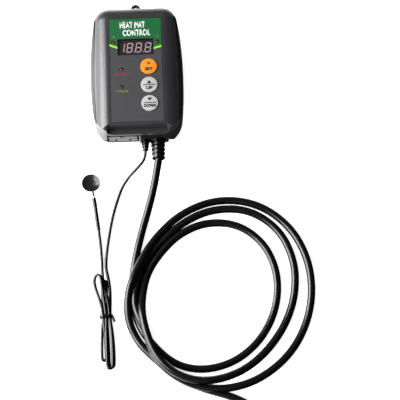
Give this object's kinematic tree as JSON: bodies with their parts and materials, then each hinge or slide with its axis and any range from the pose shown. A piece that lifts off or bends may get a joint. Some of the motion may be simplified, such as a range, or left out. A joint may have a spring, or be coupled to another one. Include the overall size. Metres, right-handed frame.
{
  "type": "plug-in temperature controller",
  "caption": "Plug-in temperature controller: charcoal housing with display, keys and grounded outlet, coiled mains cord, and a probe with suction cup on a folded thin cable.",
  "frame": {"origin": "bottom centre of the housing's box, with its hanging tab, as the controller lies on its back", "axes": "+Z out of the face; +Y along the housing from the outlet end to the hanging tab; +X to the right as the face is read"},
  "size_m": [0.2738, 0.4287, 0.0433],
  "materials": {
    "charcoal_plastic": "satin moulded charcoal plastic",
    "dark_plastic": "satin moulded dark plastic",
    "overlay_print": "printed polycarbonate film",
    "label_film": "matt silver film",
    "smoked_lens": "clear dark gloss",
    "display_block": "matt dark moulding",
    "segment": "pale diffuser",
    "led_red": "clear tinted dome",
    "led_dark": "clear tinted dome, unlit",
    "key_orange": "satin moulded orange",
    "key_grey": "satin moulded light grey",
    "board_green": "solder-masked glass fibre board",
    "component_black": "moulded epoxy",
    "component_blue": "sleeved film",
    "connector_white": "moulded nylon",
    "glass_clear": "clear glass",
    "steel": "bright zinc plate",
    "laminated_steel": "varnished laminations",
    "brass": "bright strip",
    "nickel": "nickel plate",
    "outlet_grey": "satin moulded grey",
    "black_vinyl": "glossy black vinyl",
    "wire_black": "vinyl insulation",
    "wire_white": "vinyl insulation",
    "wire_green": "vinyl insulation",
    "cup_rubber": "glossy moulded rubber"
  },
  "bodies": {
    "root": {"rear_shell": "dark_plastic", "hanging_tab": "dark_plastic", "front_shell": "charcoal_plastic", "rating_label": "label_film", "housing_screws": "steel", "face_overlay": "overlay_print", "display_window": "smoked_lens", "display_module": "display_block", "display_segments": "segment", "control_board": "board_green", "power_board": "board_green", "board_screws": "steel", "power_relay": "component_blue", "transformer": "laminated_steel", "capacitors": "component_black", "fuse_link": "glass_clear", "terminal_block": "board_green", "microcontroller": "component_black", "sensor_socket": "connector_white", "board_link": "component_black", "outlet_body": "outlet_grey", "ground_contact": "brass", "hot_contact": "brass", "neutral_contact": "brass", "power_strain_relief": "black_vinyl", "sensor_strain_relief": "black_vinyl", "power_cord_lead": "black_vinyl", "power_cord_coil": "black_vinyl", "power_cord_tail": "black_vinyl", "plug_body": "black_vinyl", "plug_blades": "nickel", "plug_ground_pin": "nickel", "sensor_lead": "black_vinyl", "sensor_hank": "black_vinyl", "sensor_tail": "black_vinyl", "cable_tie": "black_vinyl", "probe_sleeve": "black_vinyl", "probe_capsule": "nickel", "hot_wire": "wire_black", "neutral_wire": "wire_white", "ground_wire": "wire_green", "fahrenheit_led": "led_red", "celsius_led": "led_dark", "heating_led": "led_red", "power_led": "led_dark", "set_switch": "component_black", "up_switch": "component_black", "down_switch": "component_black"},
    "set_key": {"set_button": "key_orange", "set_plunger": "component_black"},
    "up_key": {"up_button": "key_grey", "up_plunger": "component_black"},
    "down_key": {"down_button": "key_grey", "down_plunger": "component_black"},
    "cup": {"suction_cup": "cup_rubber"}
  },
  "joints": [
    {"name": "set_press", "type": "slide", "parent": "root", "child": "set_key", "axis": [0, 0, -1], "range_m": [0, 0.0005], "stiffness_N_per_m": 400, "springref_m": -0.0005},
    {"name": "up_press", "type": "slide", "parent": "root", "child": "up_key", "axis": [0, 0, -1], "range_m": [0, 0.0005], "stiffness_N_per_m": 400, "springref_m": -0.0005},
    {"name": "down_press", "type": "slide", "parent": "root", "child": "down_key", "axis": [0, 0, -1], "range_m": [0, 0.0005], "stiffness_N_per_m": 400, "springref_m": -0.0005},
    {"name": "cup_swivel", "type": "hinge", "parent": "root", "child": "cup", "pos_m": [-0.04407, -0.10754, 0.004], "axis": [-0.1485, 0.9889, 0], "range_deg": [-48, 48]}
  ]
}
